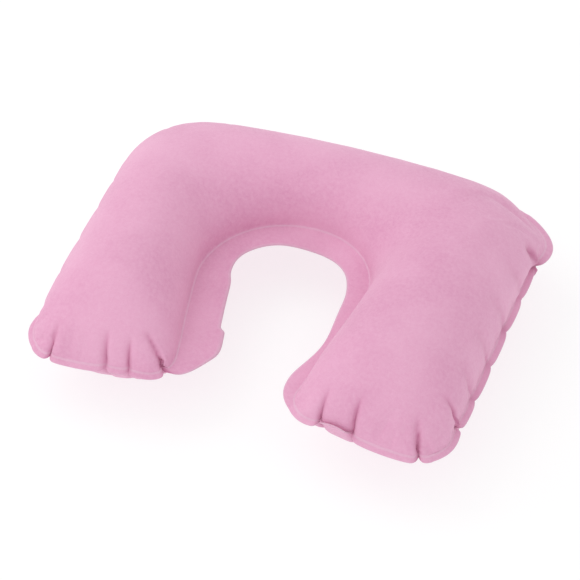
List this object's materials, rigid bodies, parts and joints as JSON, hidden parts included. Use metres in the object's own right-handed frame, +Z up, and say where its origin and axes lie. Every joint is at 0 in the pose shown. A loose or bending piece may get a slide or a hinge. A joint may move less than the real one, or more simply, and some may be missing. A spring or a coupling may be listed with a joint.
{
  "type": "inflatable neck pillow",
  "caption": "U shaped inflatable travel neck pillow: two flocked film panels welded round the edge, with a push-in oral valve behind the neck.",
  "frame": {"origin": "under the middle of the pillow's bounding box, on the plane that it rests on", "axes": "+X across the two arms, +Y from the mouth of the U to the back of the neck, +Z up from the resting plane"},
  "size_m": [0.3598, 0.2999, 0.1015],
  "materials": {
    "flocked_film": "matte velvet flock on soft vinyl film",
    "vinyl": "semi-gloss soft vinyl"
  },
  "bodies": {
    "pillow": {"upper_panel": "flocked_film", "lower_panel": "flocked_film", "valve_base": "vinyl", "valve_web": "vinyl"},
    "stem": {"valve_stem": "vinyl"},
    "flap": {"check_flap": "vinyl"},
    "plug": {"valve_plug": "vinyl", "plug_tether": "vinyl"}
  },
  "joints": [
    {"name": "stem_pull", "type": "slide", "parent": "pillow", "child": "stem", "axis": [0, 0.8124, -0.5831], "range_m": [0, 0.014], "deforming": ["valve_web"]},
    {"name": "plug_swing", "type": "hinge", "parent": "stem", "child": "plug", "pos_m": [0.0076, 0.1353, 0.02444], "axis": [0, -0.5831, -0.8124], "range_deg": [0, 135], "deforming": ["plug_tether"]},
    {"name": "flap_open", "type": "hinge", "parent": "stem", "child": "flap", "pos_m": [0.0046, 0.12051, 0.03506], "axis": [0, 0.5831, 0.8124], "range_deg": [0, 60]}
  ]
}
